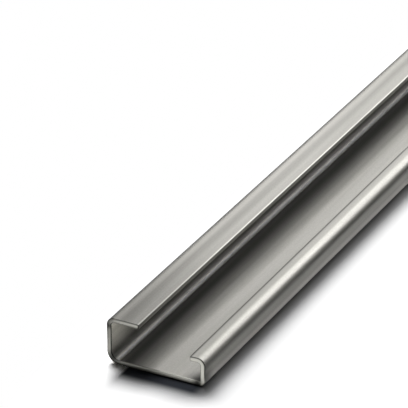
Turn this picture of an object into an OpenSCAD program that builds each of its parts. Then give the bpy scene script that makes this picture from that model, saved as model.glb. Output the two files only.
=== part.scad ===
// Asymmetric mounting rail, G section, 32 mm wide and 15 mm high, without slots.
// One steel strip is roll formed with four folds, all turning the same way.
// The tall side ends in the wide lip that a fitting hooks under.
// The low side ends in the short lip that the fitting's foot snaps over.
// The fold between the back and the tall side is wide, and the one at the low side is tight.
// The rail lies on its back along Y, with the tall side at -X.
// The origin is at the middle of the back face. All sizes are in millimetres.

/* [Strip] */
// Thickness of the steel strip
strip_t = 1.5; // [1:0.1:2]
// Radius that slitting leaves on the corners of the strip's two long edges
slit_r = 0.3; // [0.1:0.05:0.4]

/* [Section] */
// Width over the outer faces of the two sides
rail_w = 32; // [28:0.5:40]
// Height of the tall side, from the back to the top of its lip
tall_h = 15; // [12:0.5:18]
// Height of the low side, from the back to the top of its lip
low_h = 9; // [7.5:0.5:11]
// Width of the lip on the tall side, from the side's outer face to the lip's edge
tall_lip_w = 10.5; // [8:0.5:12]
// Width of the lip on the low side, from the side's outer face to the lip's edge
low_lip_w = 5; // [4:0.5:7]

/* [Folds] */
// Inside radius of the folds at the two lips
lip_fold_r = 1; // [0.5:0.1:1.5]
// Inside radius of the fold between the back and the tall side
tall_heel_r = 2.5; // [1.5:0.1:3]
// Inside radius of the fold between the back and the low side
low_heel_r = 0.3; // [0.2:0.1:1]

/* [Stock] */
// Length that the rail is sold in
rail_l = 1000; // [250:250:2000]

/* [Hidden] */
$fn = 64;

// Corner of the strip's edge, limited by its thickness
corner_r = min(slit_r, strip_t / 3);

// The strip is walked from the edge of the tall side's lip round the section to the
// edge of the low side's lip. These are the inside radii of the folds on the way, and
// the width of each side of the section, measured over the outside of its folds.
folds = [lip_fold_r, tall_heel_r, low_heel_r, lip_fold_r];
sides = [tall_lip_w - corner_r, tall_h, rail_w, low_h, low_lip_w - corner_r];

// Outside radius of fold n, and nothing at the strip's two ends, which have no fold.
function outer_r(n) = n < 0 || n >= len(folds) ? 0 : folds[n] + strip_t;

// Flat stretch of each side, between the folds at its two ends.
flats = [for (n = [0 : len(sides) - 1]) sides[n] - outer_r(n - 1) - outer_r(n)];

// Quarter disc in the corner between +X and -Y.
module quarter(r) {
    intersection() {
        circle(r);
        translate([0, -r]) square(r);
    }
}

// Fold n, which turns the strip left by a right angle. The origin is at its centre.
module fold(n) {
    difference() {
        quarter(outer_r(n));
        circle(folds[n]);
    }
}

// The strip's slit edge, at the end of a flat stretch that lies along +X below the axis.
module slit_edge() {
    translate([0, corner_r - strip_t]) {
        quarter(corner_r);
        square([corner_r, strip_t - 2 * corner_r]);
    }
    translate([0, -corner_r]) mirror([0, 1]) quarter(corner_r);
}

// The strip from side n on. The origin is on its inner face, and it sets off along +X.
module strip(n = 0) {
    translate([0, -strip_t]) square([flats[n], strip_t]);
    translate([flats[n], 0])
        if (n < len(folds))
            translate([0, folds[n]]) {
                fold(n);
                rotate(90) translate([0, -folds[n]]) strip(n + 1);
            }
        else
            slit_edge();
}

// The G section, standing on its back with the tall side at the left.
module g_section() {
    translate([tall_lip_w - corner_r - rail_w / 2, tall_h - strip_t])
        rotate(180) {
            mirror([1, 0]) slit_edge();
            strip();
        }
}

module rail() {
    color("silver")
        translate([0, rail_l / 2])
            rotate([90, 0, 0])
                linear_extrude(rail_l) g_section();
}

rail();
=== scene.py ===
# %% [markdown]
# # A mounting rail, from flat strip to cut length
# This lesson dresses one length of steel rail that terminal blocks clip onto.
# The rail is a single strip of zinc-plated steel, roll formed into a G: a flat back,
# a tall side with a wide lip, and a low side with a short lip.
# The measured rail is loaded first. It is the frame that everything below is made to.

# %% Load the measured rail
import math
import bpy
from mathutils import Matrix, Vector


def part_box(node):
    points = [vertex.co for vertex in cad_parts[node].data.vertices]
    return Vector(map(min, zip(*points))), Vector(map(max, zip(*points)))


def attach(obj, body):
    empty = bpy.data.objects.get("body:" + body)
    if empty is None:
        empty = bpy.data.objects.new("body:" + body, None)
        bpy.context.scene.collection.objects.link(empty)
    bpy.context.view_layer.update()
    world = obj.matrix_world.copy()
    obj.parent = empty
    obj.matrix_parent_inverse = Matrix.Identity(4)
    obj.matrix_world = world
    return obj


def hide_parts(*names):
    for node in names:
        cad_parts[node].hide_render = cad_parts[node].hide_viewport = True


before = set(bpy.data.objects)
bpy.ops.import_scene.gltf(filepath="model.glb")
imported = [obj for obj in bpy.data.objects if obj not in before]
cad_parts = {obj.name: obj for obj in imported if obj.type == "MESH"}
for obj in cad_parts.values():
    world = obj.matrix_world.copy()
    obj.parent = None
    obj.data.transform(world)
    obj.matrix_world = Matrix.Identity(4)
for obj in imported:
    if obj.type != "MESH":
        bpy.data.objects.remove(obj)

bpy.context.view_layer.update()

# %% [markdown]
# The measured rail gives the outer width, height and length.
# The sizes inside its section are written here once, in millimetres, as a maker's drawing would.

# %% Sizes of the section
MM = 0.001                # one millimetre in metres
STRIP = 1.5 * MM          # thickness of the steel strip
LIP_FOLD = 1.0 * MM       # inside radius of the folds at the lips
TALL_HEEL = 2.5 * MM      # inside radius of the fold between the back and the tall side
LOW_HEEL = 0.3 * MM       # inside radius of the fold between the back and the low side
LOW_SIDE = 9.0 * MM       # height of the low side
TALL_LIP = 10.5 * MM      # width of the lip on the tall side
LOW_LIP = 5.0 * MM        # width of the lip on the low side

low_corner, high_corner = (Vector(corner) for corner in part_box("rail"))
LEFT, RIGHT = low_corner.x, high_corner.x
NEAR, FAR = low_corner.y, high_corner.y
TALL_SIDE = high_corner.z
LENGTH = FAR - NEAR

# Corners of the section as x, z and the outside radius of the fold there
FOLDS = (
    (LEFT, TALL_SIDE, LIP_FOLD + STRIP),
    (LEFT, 0, TALL_HEEL + STRIP),
    (RIGHT, 0, LOW_HEEL + STRIP),
    (RIGHT, LOW_SIDE, LIP_FOLD + STRIP),
)
print("section", round((RIGHT - LEFT) / MM, 2), "by", round(TALL_SIDE / MM, 2), "mm")
print("length", round(LENGTH, 3), "m")

# %% [markdown]
# ## The strip
# A roll former takes flat strip and folds it a little more at each pair of rolls.
# A closed solid could be extruded from the section's outline, but a sheet is closer to the real thing:
# its outer face is drawn as five flat panels, the four folds are rounded, and the sheet is
# thickened inwards. Every wall then has the strip's thickness, also round the folds.
# The back comes first, as a plane of the rail's whole width and length.

# %% Lay the back of the rail
bpy.ops.object.select_all(action="DESELECT")
bpy.ops.mesh.primitive_plane_add(size=1)
rail = bpy.context.object
rail.name = "roll_formed_rail"
mesh = rail.data
bpy.ops.object.mode_set(mode="EDIT")
bpy.ops.transform.resize(value=(RIGHT - LEFT, LENGTH, 1))
print("back laid:", rail.name)

# %% [markdown]
# By hand, an edge is picked with the mouse. A script could pick it by its number in the mesh, but
# the numbers change with every cut. Here it is picked by its place, which the drawing gives.

# %% Helpers that select by place
SAME_PLACE = 0.01 * MM    # measures that differ by less are the same


def near(a, b, slack=SAME_PLACE):
    """True where two measures are the same."""
    return abs(a - b) < slack


def select_where(parts, test):
    """Goes into edit mode with those of the mesh's edges or faces selected whose corners pass the test."""
    if bpy.context.mode == "OBJECT":
        bpy.ops.object.mode_set(mode="EDIT")
    bpy.ops.mesh.select_mode(type="FACE" if parts == "polygons" else "EDGE")
    bpy.ops.mesh.select_all(action="DESELECT")
    bpy.ops.object.mode_set(mode="OBJECT")
    found = 0
    for item in getattr(mesh, parts):
        item.select = test([mesh.vertices[i].co for i in item.vertices])
        found += item.select
    bpy.ops.object.mode_set(mode="EDIT")
    return found


def select_long_edges(test):
    """Selects the edges that run the rail's whole length and whose x, z passes the test."""
    def runs_along(ends):
        return abs(ends[1].y - ends[0].y) > LENGTH / 2 and test(ends[0].x, ends[0].z)

    return select_where("edges", runs_along)


print("helpers ready")

# %% [markdown]
# The sides and the lips are the same sheet as the back, folded up and over.
# Each is extruded from the last panel's long edge, so that the panels stay joined.

# %% Draw up the sides and the lips
def draw_panel(x, z, across, up):
    """Draws the sheet's next panel from its long edge at x, z."""
    select_long_edges(lambda edge_x, edge_z: near(edge_x, x) and near(edge_z, z))
    bpy.ops.mesh.extrude_region_move(TRANSFORM_OT_translate={"value": (across, 0, up)})


draw_panel(LEFT, 0, 0, TALL_SIDE)
draw_panel(LEFT, TALL_SIDE, TALL_LIP, 0)
draw_panel(RIGHT, 0, 0, LOW_SIDE)
draw_panel(RIGHT, LOW_SIDE, -LOW_LIP, 0)
bpy.ops.object.mode_set(mode="OBJECT")
print("panels:", len(mesh.polygons))

# %% [markdown]
# The four folds are sharp corners of the sheet so far. A bevel with the outside radius rounds them.
# A bevel of a right angle with profile 0.5 is a true quarter circle.

# %% Round the folds
FOLD_STEPS = 20           # facets round each fold, too fine to see
QUARTER_CIRCLE = 0.5      # a bevel's profile that is round

for fold_x, fold_z, radius in FOLDS:
    select_long_edges(lambda x, z: near(x, fold_x) and near(z, fold_z))
    bpy.ops.mesh.bevel(offset=radius, segments=FOLD_STEPS, profile=QUARTER_CIRCLE, affect="EDGES")
bpy.ops.mesh.select_all(action="SELECT")
bpy.ops.mesh.normals_make_consistent(inside=False)
bpy.ops.object.mode_set(mode="OBJECT")
print("faces after rounding:", len(mesh.polygons))

# %% [markdown]
# Roll-formed panels are never quite flat. Springback leaves them bowed by some hundredths of a
# millimetre, and the lips droop a little towards their free edge. It is too little to measure by eye,
# but a reflection swells and thins with it, and a perfectly flat panel looks computed.
# Each panel is cut into rows, and the rows are moved inwards, never out of the measured box.

# %% Helper that springs one panel
ROWS = 8                  # rows across each panel
OFF_PANEL = 0.001 * MM    # how far a corner may lie off a panel's plane
PAST_PANEL = 0.001        # how far it may lie past a panel's edges, as a share of the width


def spring(start, end, inward, depth, free_edge=False):
    """Cuts the panel between two x, z corners into rows, and moves them inwards in a smooth curve."""
    start, end, inward = (Vector((x, 0, z)) for x, z in (start, end, inward))
    run = end - start
    stops = [(step / ROWS, start + run * step / ROWS) for step in range(1, ROWS + 1)]

    def on_panel(corner):
        from_start = Vector((corner.x, 0, corner.z)) - start
        along = from_start.dot(run) / run.length_squared
        beside = (from_start - along * run).length
        return beside < OFF_PANEL and -PAST_PANEL < along < 1 + PAST_PANEL

    for _, stop in stops[:-1]:
        select_where("polygons", lambda corners: all(map(on_panel, corners)))
        bpy.ops.mesh.bisect(plane_co=stop, plane_no=run.normalized())
    for share, stop in stops:
        # A free edge moves furthest. Between two folds it is the middle, and the edges stay.
        reach = share ** 2 if free_edge else 4 * share * (1 - share)
        select_long_edges(lambda x, z: near(x, stop.x) and near(z, stop.z))
        bpy.ops.transform.translate(value=inward * depth * reach)


print("rows across each panel:", ROWS)

# %% Bow the panels and droop the lips
BOW = 0.05 * MM           # how far the middle of a panel springs inwards
TALL_DROOP = 0.10 * MM    # how far the free edge of the wide lip hangs
LOW_DROOP = TALL_DROOP / 2    # how far the free edge of the short lip hangs

top_left, heel_left, heel_right, top_right = (radius for _, _, radius in FOLDS)
spring((LEFT + heel_left, 0), (RIGHT - heel_right, 0), (0, 1), BOW)
spring((LEFT, heel_left), (LEFT, TALL_SIDE - top_left), (1, 0), BOW)
spring((RIGHT, heel_right), (RIGHT, LOW_SIDE - top_right), (-1, 0), BOW)
spring((LEFT + top_left, TALL_SIDE), (LEFT + TALL_LIP, TALL_SIDE), (0, -1), TALL_DROOP, free_edge=True)
spring((RIGHT - top_right, LOW_SIDE), (RIGHT - LOW_LIP, LOW_SIDE), (0, -1), LOW_DROOP, free_edge=True)
bpy.ops.object.mode_set(mode="OBJECT")
print("faces with sprung panels:", len(mesh.polygons))

# %% [markdown]
# The sheet is the strip's outer face, and it has no thickness yet. Its inner face could be drawn in
# the same way, but the Solidify modifier grows the wall from the sheet. All of it goes inwards, so
# the measured box stays, and the even offset keeps the strip's thickness round the folds.

# %% Thicken the sheet inwards
INWARDS = -1              # the side of the sheet on which Solidify grows the wall

solidify = rail.modifiers.new("strip", "SOLIDIFY")
solidify.thickness = STRIP
solidify.offset = INWARDS
solidify.use_even_offset = True
bpy.ops.object.modifier_apply(modifier=solidify.name)
print("faces with the strip's thickness:", len(mesh.polygons))

# %% [markdown]
# ## The edges of the strip
# Slitting rounds the two long edges of the strip a little, and the saw leaves a fine broken edge
# round each end. Real edges are never sharp, and it is these narrow faces that catch the light.
# The slit edges are picked by their place. The ends are then the only sharp edges left.
# Weighted normals keep the shading of the large panels flat right up to the narrow faces.

# %% Ease the slit edges and the cut ends
SLIT_ROUND = 0.3 * MM     # radius that slitting leaves along the strip
SLIT_STEPS = 4            # facets round it
BROKEN_EDGE = 0.35 * MM   # width of the edge broken round each cut end
BROKEN_STEPS = 2          # facets across it
AT_SLIT = STRIP / 10      # how far from a lip's drawn width its corner lines may lie
SHARP = math.radians(60)  # angle from which an edge counts as sharp
SMOOTH = math.radians(40) # angle up to which the shading runs over an edge


def at_slit_edge(x, z, slack=AT_SLIT):
    """True on the corner lines of the strip's two long edges, which end the lips."""
    ends_tall_lip = near(x, LEFT + TALL_LIP, slack) and near(z, TALL_SIDE - STRIP / 2, STRIP)
    ends_low_lip = near(x, RIGHT - LOW_LIP, slack) and near(z, LOW_SIDE - STRIP / 2, STRIP)
    return ends_tall_lip or ends_low_lip


print("slit edges:", select_long_edges(at_slit_edge))
bpy.ops.mesh.bevel(offset=SLIT_ROUND, segments=SLIT_STEPS, profile=QUARTER_CIRCLE, affect="EDGES")
bpy.ops.mesh.select_all(action="DESELECT")
bpy.ops.mesh.edges_select_sharp(sharpness=SHARP)
bpy.ops.mesh.bevel(offset=BROKEN_EDGE, segments=BROKEN_STEPS, profile=QUARTER_CIRCLE, affect="EDGES")
bpy.ops.object.mode_set(mode="OBJECT")
bpy.ops.object.shade_smooth_by_angle(angle=SMOOTH)
weighted = rail.modifiers.new("even shading", "WEIGHTED_NORMAL")
weighted.keep_sharp = True
bpy.ops.object.modifier_apply(modifier=weighted.name)
print("faces with eased edges:", len(mesh.polygons))

# %% [markdown]
# The finish has to know where it is on the strip, so three marks are written on the mesh.
# They are point attributes from 0 to 1 that a material can read: one for the skin that looks
# into the channel, one for the strip's two sheared edges, and one for the rim of the cut ends.

# %% Mark the inner skin, the sheared edges and the rims of the ends
SKIN_SLACK = 0.2 * MM     # how far a corner may lie outside the channel and still be marked
RIM_FADE = BROKEN_EDGE / 4    # depth from the sawn face over which the rim's mark sets in


def inside_section(at):
    """1 on the faces that look into the channel."""
    top = TALL_SIDE if at.x < 0 else LOW_SIDE
    between_sides = LEFT + STRIP - SKIN_SLACK < at.x < RIGHT - STRIP + SKIN_SLACK
    above_back = STRIP - SKIN_SLACK < at.z < top - STRIP + SKIN_SLACK
    return float(between_sides and above_back)


def sheared_edge(at):
    """1 on the strip's two long edges, between their rounded corners."""
    return float(at_slit_edge(at.x, at.z, SLIT_ROUND / 2))


def cut_rim(at):
    """1 on the broken edge round a cut end, 0 where it meets the sawn face."""
    return min(1.0, (LENGTH / 2 - abs(at.y)) / RIM_FADE)


def mark(name, rule):
    """Writes a rule's value at every vertex into a point attribute."""
    values = mesh.attributes.new(name, "FLOAT", "POINT").data
    for vertex in mesh.vertices:
        values[vertex.index].value = rule(vertex.co)
    print(name, "on", sum(1 for item in values if item.value), "of", len(values), "vertices")


mark("inner_skin", inside_section)
mark("sheared_edge", sheared_edge)
mark("cut_rim", cut_rim)

# %% [markdown]
# ## The finish
# A material is a tree of nodes. By hand they are added one by one and joined with wires. Here one
# function adds a node, sets its values and links its inputs, so that each step stays one line.

# %% Colours and nodes
def linear(hex_colour):
    """An sRGB hex colour as Blender's linear RGBA, by the formula of the sRGB standard."""
    parts = [int(hex_colour[i:i + 2], 16) / 255 for i in (1, 3, 5)]
    return [p / 12.92 if p <= 0.04045 else ((p + 0.055) / 1.055) ** 2.4 for p in parts] + [1.0]


def add(tree, kind, inputs=None, **settings):
    """Adds a shader node. An input is a value, or an output or a node's first output to link."""
    node = tree.nodes.new("ShaderNode" + kind)
    for name, value in settings.items():
        setattr(node, name, value)
    for socket, value in (inputs or {}).items():
        if isinstance(value, bpy.types.Node):
            value = value.outputs[0]
        if isinstance(value, bpy.types.NodeSocket):
            tree.links.new(value, node.inputs[socket])
        else:
            node.inputs[socket].default_value = value
    return node


def new_material(name):
    """An empty node material and its tree."""
    material = bpy.data.materials.new(name)
    material.use_nodes = True
    material.node_tree.nodes.clear()
    return material, material.node_tree


WHITE = "#ffffff"
print("node helper ready, white is", linear(WHITE))

# %% [markdown]
# The real finish is zinc over cold-rolled steel, with a thin clear passivation.
# Rolling draws fine lines along the strip, in broad faint bands, and the zinc is mottled over them.
# An image could hold all that, but noise that is stretched along the rail needs no picture and
# doesn't repeat. Its scales are the real sizes: one over the width and the length of a line.

# %% Patterns of the plated strip
ROLL_LINE = 0.45 * MM     # spacing of the fine lines that the rolls leave
ROLL_LINE_RUN = 90 * MM   # length over which one line fades
BAND = 3.0 * MM           # width of the broad, faint bands
BAND_RUN = 160 * MM       # length over which one band fades
GRAIN = 0.5 * MM          # mottle of the zinc, drawn as coarse as it needs to show

# Detail is how often noise is refined, and Roughness is how strong its fine parts are
plated, tree = new_material("zinc_plated_steel")
place = add(tree, "TexCoord").outputs["Object"]
along_lines = add(tree, "Mapping", {
    "Vector": place, "Scale": (1 / ROLL_LINE, 1 / ROLL_LINE_RUN, 1 / ROLL_LINE),
})
lines = add(tree, "TexNoise", {"Vector": along_lines, "Scale": 1.0, "Detail": 3.0, "Roughness": 0.6})
along_bands = add(tree, "Mapping", {"Vector": place, "Scale": (1 / BAND, 1 / BAND_RUN, 1 / BAND)})
bands = add(tree, "TexNoise", {"Vector": along_bands, "Scale": 1.0, "Detail": 2.0, "Roughness": 0.5})
grain = add(tree, "TexNoise", {"Vector": place, "Scale": 1 / GRAIN, "Detail": 4.0, "Roughness": 0.65})
print("lines", round(ROLL_LINE / MM, 2), "mm, bands", round(BAND / MM, 2), "mm wide")

# %% [markdown]
# Painted highlights and painted shades run the rail's whole length: light and dark lines of the metal's
# reflections, and the shade in the corner under the low lip, all painted into the zinc's colour.
# Each is written as a line through the section with a reach, and it fades with the distance from
# that line. Their shades are factors: below 1 is a painted shade, above 1 a painted highlight.
# The nose of the roll that presses the wide fold from inside scuffs it, so it is rougher there.

# %% Painted highlights and shades that run along the rail
# Every line here is painted light or painted shade in the zinc's colour, whatever its name says
PAINTED_LINES = {
    # name: x and z of the line, how far it reaches, painted shade or highlight on the line, roughness added
    # on the line
    "painted shade band on the tall lip": (LEFT + 5.4 * MM, TALL_SIDE, 2.4 * MM, 0.84, 0.0),
    "painted highlight beside the tall lip's fold": (LEFT + 3.3 * MM, TALL_SIDE, 1.6 * MM, 1.18, 0.0),
    "painted dark line on the crest of the tall lip's fold": (LEFT + 0.6 * MM, TALL_SIDE - 0.8 * MM, 1.6 * MM, 0.4, 0.0),
    "painted highlight on the edge of the tall lip": (LEFT + TALL_LIP - 0.15 * MM, TALL_SIDE, 0.6 * MM, 1.75, 0.0),
    "painted highlight and roll scuff in the wide fold": (LEFT + 3.45 * MM, 1.6 * MM, 1.15 * MM, 8.6, 0.1),
    "painted light on the back beside the wide fold": (LEFT + 4.9 * MM, STRIP, 2.2 * MM, 1.9, 0.0),
    "painted light on the middle of the back": (LEFT + 14.2 * MM, STRIP, 5.5 * MM, 1.25, 0.0),
    "painted dark line on the edge of the low lip": (RIGHT - LOW_LIP, LOW_SIDE, 1.1 * MM, 0.1, 0.0),
    "painted highlight on the fold of the low lip": (RIGHT - 1.9 * MM, LOW_SIDE, 2.1 * MM, 1.16, 0.0),
    "painted highlight on the outer shoulder of the low lip's fold": (RIGHT - 0.45 * MM, LOW_SIDE - 1.05 * MM, 1.2 * MM, 1.3, 0.0),
    "painted dark line on the low side below its fold": (RIGHT, LOW_SIDE - 2.5 * MM, 1.3 * MM, 0.6, 0.0),
    "painted light on the foot of the low side": (RIGHT, 2.0 * MM, 1.6 * MM, 1.5, 0.0),
    "painted shade in the corner under the low lip": (RIGHT - STRIP, STRIP, 4.0 * MM, 0.6, 0.0),
}

axes = add(tree, "SeparateXYZ", {"Vector": place}).outputs
in_section = add(tree, "CombineXYZ", {"X": axes["X"], "Z": axes["Z"]})
painted_lines = 1.0
scuffs = 0.0
for x, z, reach, on_line, rougher in PAINTED_LINES.values():
    away = add(tree, "VectorMath", {0: in_section, 1: (x, 0, z)}, operation="DISTANCE")
    weight = add(tree, "MapRange", {
        "Value": away.outputs["Value"], "From Max": reach, "To Min": 1.0, "To Max": 0.0,
    }, interpolation_type="SMOOTHSTEP")
    painted_line = add(tree, "Math", {0: weight, 1: on_line - 1, 2: 1.0}, operation="MULTIPLY_ADD")
    painted_lines = add(tree, "Math", {0: painted_lines, 1: painted_line}, operation="MULTIPLY")
    if rougher:
        scuffs = add(tree, "Math", {0: weight, 1: rougher, 2: scuffs}, operation="MULTIPLY_ADD")
print("traces:", len(PAINTED_LINES))

# %% [markdown]
# The recess under the tall lip is painted darker, a painted shade, most at the wall, and towards
# the rail's open end it turns into a painted light, brighter than the plain zinc.
# The inner skin's mark keeps this off the outside, which lies at the same distance from the wall.

# %% Painted shade in the recess, painted light at its open end
RECESS_FROM = LEFT + 6.0 * MM   # where the painted shade starts to lift, across the back
RECESS_TO = LEFT + 13.5 * MM    # where it has gone
RECESS_SHADE = 0.30       # painted shade at its darkest, at the wall
OPEN_END = 22 * MM        # how far the painted light reaches in from an open end
OPEN_END_SHADE = 2.2      # painted light at the very end
OPEN_END_FROM = 2 * MM    # height on the wall from which the painted light sets in
OPEN_END_TO = 8 * MM      # height from which it is strongest

inner_skin = add(tree, "Attribute", attribute_name="inner_skin").outputs["Fac"]
recess = add(tree, "MapRange", {
    "Value": axes["X"], "From Min": RECESS_FROM, "From Max": RECESS_TO, "To Min": 1.0, "To Max": 0.0,
}, interpolation_type="SMOOTHSTEP")
recess = add(tree, "Math", {0: recess, 1: inner_skin}, operation="MULTIPLY")
from_middle = add(tree, "Math", {0: axes["Y"]}, operation="ABSOLUTE")
at_end = add(tree, "MapRange", {
    "Value": from_middle, "From Min": LENGTH / 2 - OPEN_END, "From Max": LENGTH / 2,
}, interpolation_type="SMOOTHSTEP")
high_up = add(tree, "MapRange", {
    "Value": axes["Z"], "From Min": OPEN_END_FROM, "From Max": OPEN_END_TO,
}, interpolation_type="SMOOTHSTEP")
at_end = add(tree, "Math", {0: at_end, 1: high_up}, operation="MULTIPLY")
# painted shade in the recess, which turns into painted light at the open end
zinc = add(tree, "MapRange", {"Value": at_end, "To Min": RECESS_SHADE, "To Max": OPEN_END_SHADE})
zinc = add(tree, "Math", {0: zinc, 1: 1.0}, operation="SUBTRACT")
recess_shade_and_end_light = add(tree, "Math", {0: zinc, 1: recess, 2: 1.0}, operation="MULTIPLY_ADD")
print("shade", RECESS_SHADE, "in the recess and", OPEN_END_SHADE, "at its open end")

# %% [markdown]
# Three more things darken the plating near its edges. Slitting shears the strip's two long edges bare,
# the wide lip is darker towards each end, and the corner under the short lip is painted darker, a
# painted shade. Both ends are sawn alike, so the last two go by the distance from the middle.

# %% Sheared edges, darker lip ends and painted shade in the corner
SHEARED_SHADE = 0.5       # shade of the sheared edges
DARK_LIP_END = 60 * MM         # length at each end over which the wide lip darkens
DARK_LIP_END_SHADE = 0.66      # shade of the wide lip at the very end
CORNER_SHADE = (RIGHT - STRIP, LENGTH / 2, STRIP)   # where the corner is painted darker, a painted shade, at both ends
CORNER_SHADE_REACH = 7 * MM
CORNER_SHADE_FACTOR = 0.2    # painted shade in the corner itself

sheared = add(tree, "Attribute", attribute_name="sheared_edge").outputs["Fac"]
bare = add(tree, "MapRange", {"Value": sheared, "To Min": 1.0, "To Max": SHEARED_SHADE})
darker_lip_end = add(tree, "MapRange", {
    "Value": from_middle, "From Min": LENGTH / 2 - DARK_LIP_END, "From Max": LENGTH / 2,
}, interpolation_type="SMOOTHSTEP")
on_tall_lip = add(tree, "MapRange", {
    "Value": axes["Z"], "From Min": TALL_SIDE - STRIP, "From Max": TALL_SIDE - STRIP / 2,
})
darker_lip_end = add(tree, "Math", {0: darker_lip_end, 1: on_tall_lip}, operation="MULTIPLY")
darker_lip_end = add(tree, "MapRange", {"Value": darker_lip_end, "To Min": 1.0, "To Max": DARK_LIP_END_SHADE})
at_both_ends = add(tree, "CombineXYZ", {"X": axes["X"], "Y": from_middle, "Z": axes["Z"]})
# painted shade in the corner under the short lip, fading with the distance
away = add(tree, "VectorMath", {0: at_both_ends, 1: CORNER_SHADE}, operation="DISTANCE")
corner_shade = add(tree, "MapRange", {
    "Value": away.outputs["Value"], "From Max": CORNER_SHADE_REACH, "To Min": CORNER_SHADE_FACTOR, "To Max": 1.0,
}, interpolation_type="SMOOTHSTEP")
# the reach printed for the oil is that of the painted corner shade
print("darker_lip_end", round(DARK_LIP_END / MM), "mm, oil creeps", round(CORNER_SHADE_REACH / MM), "mm")

# %% [markdown]
# The plain zinc is a warm grey that wanders between two tones from band to band, and the mottle
# varies it a little more. Every shade so far is a factor, so the colour is multiplied by each.

# %% Colour of the plated strip
DULL_ZINC = "#a5a49e"
BRIGHT_ZINC = "#bbb9b4"
NOISE_LOW = 0.3           # noise hardly ever falls below this
NOISE_HIGH = 0.7          # noise hardly ever rises above this
MOTTLE = 0.10             # how much the mottle varies the shade, up and down

tone = add(tree, "MapRange", {"Value": bands, "From Min": NOISE_LOW, "From Max": NOISE_HIGH})
colour = add(tree, "ValToRGB", {"Fac": tone})
colour.color_ramp.elements[0].color = linear(DULL_ZINC)
colour.color_ramp.elements[1].color = linear(BRIGHT_ZINC)
shade = add(tree, "MapRange", {
    "Value": grain, "From Min": NOISE_LOW, "From Max": NOISE_HIGH,
    "To Min": 1 - MOTTLE, "To Max": 1 + MOTTLE,
}, clamp=False)
# the painted highlights and painted shades are multiplied into the zinc's colour here
for factor in (painted_lines, recess_shade_and_end_light, bare, darker_lip_end, corner_shade):
    shade = add(tree, "Math", {0: shade, 1: factor}, operation="MULTIPLY")
zinc_colour = add(tree, "VectorMath", {0: colour, "Scale": shade}, operation="SCALE")
print("zinc between", DULL_ZINC, "and", BRIGHT_ZINC)

# %% [markdown]
# Zinc is a metal, so what is seen is its reflections, tinted with its colour, and plated strip is
# half matt. It is rough across the rolling lines and smooth along them: a reflection smears over the
# width of the rail and stays short along its length. Lines fine enough to do that could be modelled
# as bumps, but they would have to be far finer than a pixel. An anisotropic metal does just that,
# with its tangent laid along the rail and turned a quarter, and only a faint bump is left to add.

# %% Zinc-plated, passivated steel strip
FLAT_ROUGHNESS = 0.40     # roughness of the plain plated strip
LINE_ROUGHNESS = 0.05     # how much the fine lines vary it, up and down
SMEAR = 0.8               # how strongly a highlight is smeared, from 0 to 1
QUARTER_TURN = 0.25       # turns the smear from along the tangent to across it
BUMP_HEIGHT = 0.02 * MM   # height of a full bump
LINE_BUMP = 0.15          # share of it that the fine lines have
GRAIN_BUMP = 0.3          # share of it that the mottle has

lined = add(tree, "MapRange", {
    "Value": lines, "From Min": NOISE_LOW, "From Max": NOISE_HIGH,
    "To Min": FLAT_ROUGHNESS - LINE_ROUGHNESS, "To Max": FLAT_ROUGHNESS + LINE_ROUGHNESS,
})
rough = add(tree, "Math", {0: lined, 1: scuffs}, operation="ADD")
bumpy = add(tree, "Bump", {"Height": lines, "Strength": LINE_BUMP, "Distance": BUMP_HEIGHT})
bumpy = add(tree, "Bump", {
    "Height": grain, "Strength": GRAIN_BUMP, "Distance": BUMP_HEIGHT, "Normal": bumpy,
})
along_rail = add(tree, "CombineXYZ", {"Y": 1.0})
metal = add(tree, "BsdfPrincipled", {
    "Base Color": zinc_colour, "Metallic": 1.0, "Roughness": rough, "Normal": bumpy,
    "Tangent": along_rail, "Anisotropic": SMEAR, "Anisotropic Rotation": QUARTER_TURN,
})
add(tree, "OutputMaterial", {"Surface": metal})
rail.data.materials.append(plated)
print(plated.name, len(tree.nodes), "nodes")

# %% [markdown]
# The saw leaves bare steel on the ends, paler than the zinc and without its lines. The broken rim
# round it is painted darker, a painted shade, least on the flat back, and spots of painted shade sit
# in the folds. Such spots could be painted by hand. Here each is a spot in the section that fades
# with the distance, as the painted lines do, so they sit right at both ends.

# %% Painted shade on the rim and in the folds of the cut ends
END_SHADE_SPOTS = {
    # name: x and z of its middle, how far it reaches, painted shade at its middle
    "wide fold": (LEFT + 1.7 * MM, 1.7 * MM, 3.8 * MM, 0.12),
    "below the tall lip": (LEFT + 0.8 * MM, TALL_SIDE - 2.6 * MM, 1.6 * MM, 0.25),
    "tight fold": (RIGHT - 2.4 * MM, 0.9 * MM, 2.6 * MM, 0.12),
}
RIM_SHADE = 0.15          # painted shade of the rim on the sides and lips
BACK_RIM_SHADE = 0.6      # painted shade of the rim on the back
BACK_RIM_TO = STRIP * 1.1     # height up to which the rim is the back's
SIDE_RIM_FROM = STRIP * 2.2   # height from which it is the sides'

sawn, tree = new_material("sawn_bare_steel")
place = add(tree, "TexCoord").outputs["Object"]
axes = add(tree, "SeparateXYZ", {"Vector": place}).outputs
in_section = add(tree, "CombineXYZ", {"X": axes["X"], "Z": axes["Z"]})
rim = add(tree, "Attribute", attribute_name="cut_rim").outputs["Fac"]
rim_shade = add(tree, "MapRange", {
    "Value": axes["Z"], "From Min": BACK_RIM_TO, "From Max": SIDE_RIM_FROM,
    "To Min": BACK_RIM_SHADE - 1, "To Max": RIM_SHADE - 1,
})
shade = add(tree, "Math", {0: rim, 1: rim_shade, 2: 1.0}, operation="MULTIPLY_ADD")
for x, z, reach, in_middle in END_SHADE_SPOTS.values():
    away = add(tree, "VectorMath", {0: in_section, 1: (x, 0, z)}, operation="DISTANCE")
    shade_spot = add(tree, "MapRange", {
        "Value": away.outputs["Value"], "From Max": reach, "To Min": in_middle, "To Max": 1.0,
    }, interpolation_type="SMOOTHSTEP")
    shade = add(tree, "Math", {0: shade, 1: shade_spot}, operation="MULTIPLY")
# the count printed as oil stains is that of the spots of painted shade
print("oil stains:", len(END_SHADE_SPOTS))

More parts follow.
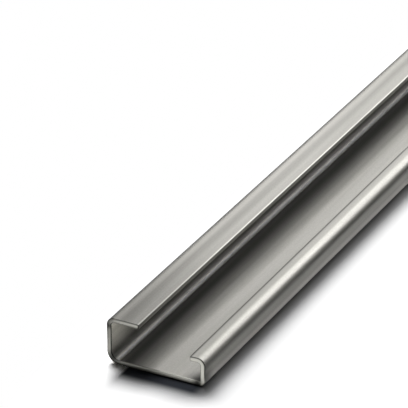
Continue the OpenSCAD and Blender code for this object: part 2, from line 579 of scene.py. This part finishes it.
# %% [markdown]
# A sawn face is also painted darker along its lower edge, a painted shade: on the back it is darkest
# at the floor, and on the wide lip it lies along the lip's lower edge. Both are a band by height.
# The maximum of two shades keeps the lighter one, which holds the painted shade off the other parts.

# %% Painted shade at the foot of the back's end
FOOT_SHADE = 0.2      # painted shade at the lower edge of the back
FOOT_SHADE_FROM = STRIP * 0.2   # height up to which it is darkest
FOOT_SHADE_TO = STRIP * 1.3     # height from which there is none
OFF_BACK_FROM = RIGHT - STRIP * 1.2   # where the painted shade fades towards the low side's end
OFF_BACK_TO = RIGHT - STRIP * 0.8     # where that end is clean

foot_shade = add(tree, "MapRange", {
    "Value": axes["Z"], "From Min": FOOT_SHADE_FROM, "From Max": FOOT_SHADE_TO,
    "To Min": FOOT_SHADE, "To Max": 1.0,
}, interpolation_type="SMOOTHSTEP")
off_back = add(tree, "MapRange", {"Value": axes["X"], "From Min": OFF_BACK_FROM, "From Max": OFF_BACK_TO})
foot_shade = add(tree, "Math", {0: foot_shade, 1: off_back}, operation="MAXIMUM")
# the height printed for the oil is that of the painted shade on the back's end
print("oil on the back's end up to", round(FOOT_SHADE_TO / MM, 2), "mm")

# %% Painted shade along the lower edge of the wide lip's end
LIP_EDGE_SHADE = 0.35      # painted shade at the lower edge of the lip
LIP_EDGE_SHADE_FROM = TALL_SIDE - STRIP * 0.85   # height up to which it is darkest
LIP_EDGE_SHADE_TO = TALL_SIDE - STRIP * 0.45     # height from which there is none
LIP_FROM = LEFT + STRIP       # where it sets in, beside the tall side
LIP_TO = LEFT + 3 * STRIP     # where it is full

lip_edge_shade = add(tree, "MapRange", {
    "Value": axes["Z"], "From Min": LIP_EDGE_SHADE_FROM, "From Max": LIP_EDGE_SHADE_TO,
    "To Min": LIP_EDGE_SHADE, "To Max": 1.0,
}, interpolation_type="SMOOTHSTEP")
off_lip = add(tree, "MapRange", {
    "Value": axes["X"], "From Min": LIP_FROM, "From Max": LIP_TO, "To Min": 1.0, "To Max": 0.0,
}, interpolation_type="SMOOTHSTEP")
low_half = add(tree, "MapRange", {
    "Value": axes["Z"], "From Min": LOW_SIDE, "From Max": LOW_SIDE + STRIP, "To Min": 1.0, "To Max": 0.0,
})
off_lip = add(tree, "Math", {0: off_lip, 1: low_half}, operation="MAXIMUM")
lip_edge_shade = add(tree, "Math", {0: lip_edge_shade, 1: off_lip}, operation="MAXIMUM")
# the depth printed for the oil is that of the painted shade on the lip's end
print("oil on the lip's end from", round((TALL_SIDE - LIP_EDGE_SHADE_TO) / MM, 2), "mm below its top")

# %% [markdown]
# The sawn face of the tall side is duller all over than the others. Bare steel is a metal as well,
# and saw marks are too fine to show at this size, so an even, half matt roughness stands for them.

# %% Sawn steel of the cut ends
SAWN_STEEL = "#c6c5bd"
SAWN_ROUGHNESS = 0.5
TALL_END_SHADE = 0.62     # shade of the tall side's end
TALL_END_FROM = LEFT + STRIP      # where it starts to lighten, across the rail
TALL_END_TO = LEFT + 2 * STRIP    # where it is as light as the rest

tall_end = add(tree, "MapRange", {
    "Value": axes["X"], "From Min": TALL_END_FROM, "From Max": TALL_END_TO,
    "To Min": TALL_END_SHADE, "To Max": 1.0,
}, interpolation_type="SMOOTHSTEP")
for factor in (foot_shade, lip_edge_shade, tall_end):
    shade = add(tree, "Math", {0: shade, 1: factor}, operation="MULTIPLY")
steel_colour = add(tree, "VectorMath", {0: linear(SAWN_STEEL)[:3], "Scale": shade}, operation="SCALE")
metal = add(tree, "BsdfPrincipled", {
    "Base Color": steel_colour, "Metallic": 1.0, "Roughness": SAWN_ROUGHNESS,
})
add(tree, "OutputMaterial", {"Surface": metal})
rail.data.materials.append(sawn)
for face in mesh.polygons:
    face.material_index = int(LENGTH / 2 - abs(face.center.y) < BROKEN_EDGE)
print("faces of the cut ends:", sum(face.material_index for face in mesh.polygons))

# %% [markdown]
# The real rail is one piece and nothing on it moves, so the dressed rail rides on the root.
# It takes the place of the measured rail, which was only there to give the sizes.

# %% Let the dressed rail stand for the measured one
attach(rail, "root")
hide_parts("rail")
print(rail.name, "stands for the measured rail")

# %% [markdown]
# ## Floor, light and camera
# The rail lies on white paper, as in a catalogue picture. Paper that is lit only as much as the
# metal needs comes out grey. More light would bleach the metal, so the paper itself is brighter
# for the camera and for reflections, and it stays plain paper for all other light.

# %% Lay the paper and set how bright it is
FLOOR_SIZE = 4.0          # width of the paper, in metres
PAPER = 0.8               # share of the light that plain paper gives back
PAPER_SEEN = 2.4          # the same as reflections see it, so that it is pure white in the metal
PAPER_EXPOSED = 1.5       # how many times brighter still the camera sees it

bpy.ops.mesh.primitive_plane_add(size=FLOOR_SIZE, location=(0, 0, 0))
floor = bpy.context.object
floor.name = "floor"
paper, tree = new_material("white_paper")
ray = add(tree, "LightPath").outputs
seen = add(tree, "Math", {0: ray["Is Camera Ray"], 1: ray["Is Glossy Ray"]}, operation="MAXIMUM")
seen = add(tree, "Math", {0: seen, 1: ray["Is Transmission Ray"]}, operation="MAXIMUM")
level = add(tree, "MapRange", {"Value": seen, "To Min": PAPER, "To Max": PAPER_SEEN})
exposed = add(tree, "MapRange", {"Value": ray["Is Camera Ray"], "To Min": 1.0, "To Max": PAPER_EXPOSED})
level = add(tree, "Math", {0: level, 1: exposed}, operation="MULTIPLY")
print(floor.name, FLOOR_SIZE, "m wide")

# %% [markdown]
# A catalogue picture's shade is darker and softer than lamps alone throw it, so a part of it is
# in the paper's colour, for the camera only. It is full close to the rail's foot and fades with the
# distance, faster to the left and in front. The distance is measured from a rectangle round the
# foot. Past the rectangle's corners it is the length of a vector, which rounds the shade there.

# %% Distance from the rail's foot
SHADE_SOFT = 4.0 * MM     # width over which the shade sets in, so that its beginning shows no line
SHADE_LEFT = 5.2          # how much faster it fades towards the tall side
SHADE_FRONT = 1.45        # how much faster it fades in front of the near end
SHADE_LOW = Vector((LEFT + 7.5 * MM, NEAR - 3.2 * MM, 0))    # corners of the part that is shaded most
SHADE_HIGH = Vector((RIGHT - 2.6 * MM, FAR - 5.0 * MM, 0))

place = add(tree, "TexCoord").outputs["Object"]
beyond = add(tree, "VectorMath", {0: place, 1: SHADE_HIGH}, operation="SUBTRACT")
before = add(tree, "VectorMath", {
    0: place,
    1: (-SHADE_LEFT, -SHADE_FRONT, 0),
    2: (SHADE_LOW.x * SHADE_LEFT, SHADE_LOW.y * SHADE_FRONT, 0),
}, operation="MULTIPLY_ADD")
off_foot = add(tree, "VectorMath", {0: before, 1: beyond}, operation="MAXIMUM")
off_foot = add(tree, "VectorMath", {0: off_foot, 1: (0, 0, 0)}, operation="MAXIMUM")
off_foot = add(tree, "VectorMath", {0: off_foot, 1: (0, 0, SHADE_SOFT)}, operation="ADD")
distance = add(tree, "VectorMath", {0: off_foot}, operation="LENGTH").outputs["Value"]
print("shaded most from", round(SHADE_LOW.x / MM, 1), "to", round(SHADE_HIGH.x / MM, 1), "mm across")

# %% Shade on the paper
SHADE = "#222428"         # colour of the paper where the rail shades it most
SHADE_SPREAD = 8.1 * MM   # about half of the shade is left this far past SHADE_SOFT
SHADE_END = 0.01          # share at which it has faded out

spread = add(tree, "Math", {0: distance, 1: SHADE_SPREAD - SHADE_SOFT}, operation="ADD")
shaded = add(tree, "Math", {0: SHADE_SPREAD, 1: spread}, operation="DIVIDE")
shaded = add(tree, "MapRange", {"Value": shaded, "From Min": SHADE_END})
shaded = add(tree, "Math", {0: shaded, 1: ray["Is Camera Ray"]}, operation="MULTIPLY")
darker = [part - 1 for part in linear(SHADE)[:3]]
white = add(tree, "VectorMath", {0: shaded, 1: darker, 2: (1, 1, 1)}, operation="MULTIPLY_ADD")
white = add(tree, "VectorMath", {0: white, "Scale": level}, operation="SCALE")
print("shade of the paper:", SHADE)

# %% [markdown]
# Away from the rail the paper has no shade and no edge. There it turns into an even white that
# needs no light, so that the background is the same white from every side.

# %% Open floor around the rail
OPEN_FROM = 45 * MM       # distance at which the paper starts to turn into an even white
OPEN_TO = 120 * MM        # distance from which it is even

open_floor = add(tree, "MapRange", {
    "Value": distance, "From Min": OPEN_FROM, "From Max": OPEN_TO,
}, interpolation_type="SMOOTHSTEP")
open_floor = add(tree, "Math", {0: open_floor, 1: seen}, operation="MULTIPLY")
matt = add(tree, "BsdfDiffuse", {"Color": white})
even = add(tree, "Emission", {"Color": linear(WHITE), "Strength": 1.0})
surface = add(tree, "MixShader", {0: open_floor, 1: matt, 2: even})
add(tree, "OutputMaterial", {"Surface": surface})
floor.data.materials.append(paper)
print(paper.name, len(tree.nodes), "nodes")

# %% [markdown]
# Shiny metal shows its surroundings, and on white paper its edges would fade into the paper.
# A photographer lays black cards beside the metal, just out of the picture, to draw the edges dark.
# Here the cards are seen by reflections only, so they hide nothing and throw no shadow.

# %% Black cards beside the rail
BLACK_CARD = "#202020"
CARD_WIDTH = 120 * MM
CARD_LENGTH = LENGTH * 1.2    # a little more than the rail's, so that no end shows in the metal
CARD_HEIGHT = 0.2 * MM    # height above the paper
CARD_GAP_RIGHT = 5 * MM   # bare paper between the low side and its card
CARD_GAP_LEFT = 8 * MM    # bare paper between the tall side and its card

black, tree = new_material("black_card")
matt = add(tree, "BsdfDiffuse", {"Color": linear(BLACK_CARD)})
add(tree, "OutputMaterial", {"Surface": matt})


def black_card(name, middle):
    """A card beside the rail, a little longer than it, seen only in reflections."""
    bpy.ops.mesh.primitive_plane_add(size=1, location=(middle, 0, CARD_HEIGHT))
    card = bpy.context.object
    card.name = name
    card.scale = (CARD_WIDTH, CARD_LENGTH, 1)
    card.data.materials.append(black)
    card.visible_camera = False
    card.visible_diffuse = False
    card.visible_shadow = False
    card.visible_transmission = False
    print(name, "with its middle at", round(middle / MM, 1), "mm")


black_card("card_right", RIGHT + CARD_GAP_RIGHT + CARD_WIDTH / 2)
black_card("card_left", LEFT - CARD_GAP_LEFT - CARD_WIDTH / 2)

# %% [markdown]
# Half matt metal wants large, soft lamps, because a small one would only make a spot on it.
# Each softbox is a rectangular area lamp that faces the lit stretch of the rail. The key stands high
# at the left, and the others stand beyond the rail, where the metal mirrors them towards the camera.
# Their brightness is given against white paper, and the lamp's energy follows from its area.

# %% Softboxes
def bearing(azimuth, elevation):
    """Unit vector towards a compass bearing, clockwise from +Y, and a height, in degrees."""
    a, e = math.radians(azimuth), math.radians(elevation)
    return Vector((math.sin(a) * math.cos(e), math.cos(a) * math.cos(e), math.sin(e)))


LIT_SPOT = Vector((0, NEAR + 80 * MM, 0))   # middle of the stretch that the camera shows
BOX_DISTANCE = 1.2        # distance of each softbox from there, in metres
PAPER_WHITE = 4           # energy per square metre at which a lamp looks as bright as white paper
SOFTBOXES = {
    # name: bearing and elevation in degrees, width and height in metres, brightness
    "key_left": (-50, 56, 0.6, 0.6, 5.5),
    "back": (7, 34, 1.0, 0.5, 2.0),
    "back_low_left": (-22, 20, 0.45, 0.75, 0.3),
    "strip_right": (25, 28, 0.1, 0.5, 1.2),
}

for name, (azimuth, elevation, width, height, brightness) in SOFTBOXES.items():
    lamp = bpy.data.lights.new(name, "AREA")
    lamp.shape = "RECTANGLE"
    lamp.size, lamp.size_y = width, height
    lamp.energy = PAPER_WHITE * brightness * width * height
    stand = bpy.data.objects.new(name, lamp)
    stand.location = LIT_SPOT + bearing(azimuth, elevation) * BOX_DISTANCE
    stand.rotation_euler = (stand.location - LIT_SPOT).to_track_quat("Z", "Y").to_euler()
    bpy.context.collection.objects.link(stand)
print("softboxes:", ", ".join(SOFTBOXES))

# %% [markdown]
# The room behind the camera is light, and the room beyond the rail is dark, so the metal is modelled
# by the softboxes from the front and still shows a light room from its other sides.
# The room is seen by reflections, and it does not light the paper. Behind the paper it is white.

# %% The room
ROOM_BEHIND_CAMERA = 0.5
ROOM_BEYOND = 0.05
TURN_FROM = -0.4          # the room darkens from this share of +Y in the direction of a ray
TURN_TO = 0.2             # to this one

world = bpy.data.worlds.new("studio")
bpy.context.scene.world = world
world.use_nodes = True
world.cycles_visibility.diffuse = False
tree = world.node_tree
tree.nodes.clear()
direction = add(tree, "TexCoord").outputs["Generated"]
towards = add(tree, "SeparateXYZ", {"Vector": direction}).outputs
room = add(tree, "MapRange", {
    "Value": towards["Y"], "From Min": TURN_FROM, "From Max": TURN_TO,
    "To Min": ROOM_BEHIND_CAMERA, "To Max": ROOM_BEYOND,
}, interpolation_type="SMOOTHSTEP")
by_camera = add(tree, "LightPath").outputs["Is Camera Ray"]
room = add(tree, "Math", {0: room, 1: by_camera}, operation="MAXIMUM")
sky = add(tree, "Background", {"Color": linear(WHITE), "Strength": room})
add(tree, "OutputWorld", {"Surface": sky})
print("room from", ROOM_BEYOND, "to", ROOM_BEHIND_CAMERA)

# %% [markdown]
# The rail is seen from its near end and from above, along its length. A long lens from a distance
# keeps the long edges nearly parallel, where a wide lens close up would make them run together.
# The camera is placed by a point that it aims at, a bearing, a height and a distance, so that each
# can be changed by itself. The plain view transform shows a colour as it is written.

# %% Camera
VIEW_BEARING = 27.2       # degrees that the view turns from the rail's length towards -X
VIEW_HEIGHT = 27.2        # degrees that the camera looks down
VIEW_DISTANCE = 1.0248    # metres from the camera to the point that it aims at
LENS = 283.8              # millimetres
SENSOR = 36               # millimetres
AIM = Vector((-36.84 * MM, NEAR + 102.32 * MM, 0))

camera_data = bpy.data.cameras.new("camera")
camera_data.lens = LENS
camera_data.sensor_width = SENSOR
camera = bpy.data.objects.new("camera", camera_data)
camera.location = AIM + bearing(180 - VIEW_BEARING, VIEW_HEIGHT) * VIEW_DISTANCE
camera.rotation_euler = (camera.location - AIM).to_track_quat("Z", "Y").to_euler()
bpy.context.collection.objects.link(camera)
bpy.context.scene.camera = camera
bpy.context.scene.view_settings.view_transform = "Standard"
print("camera at", tuple(round(part, 3) for part in camera.location))
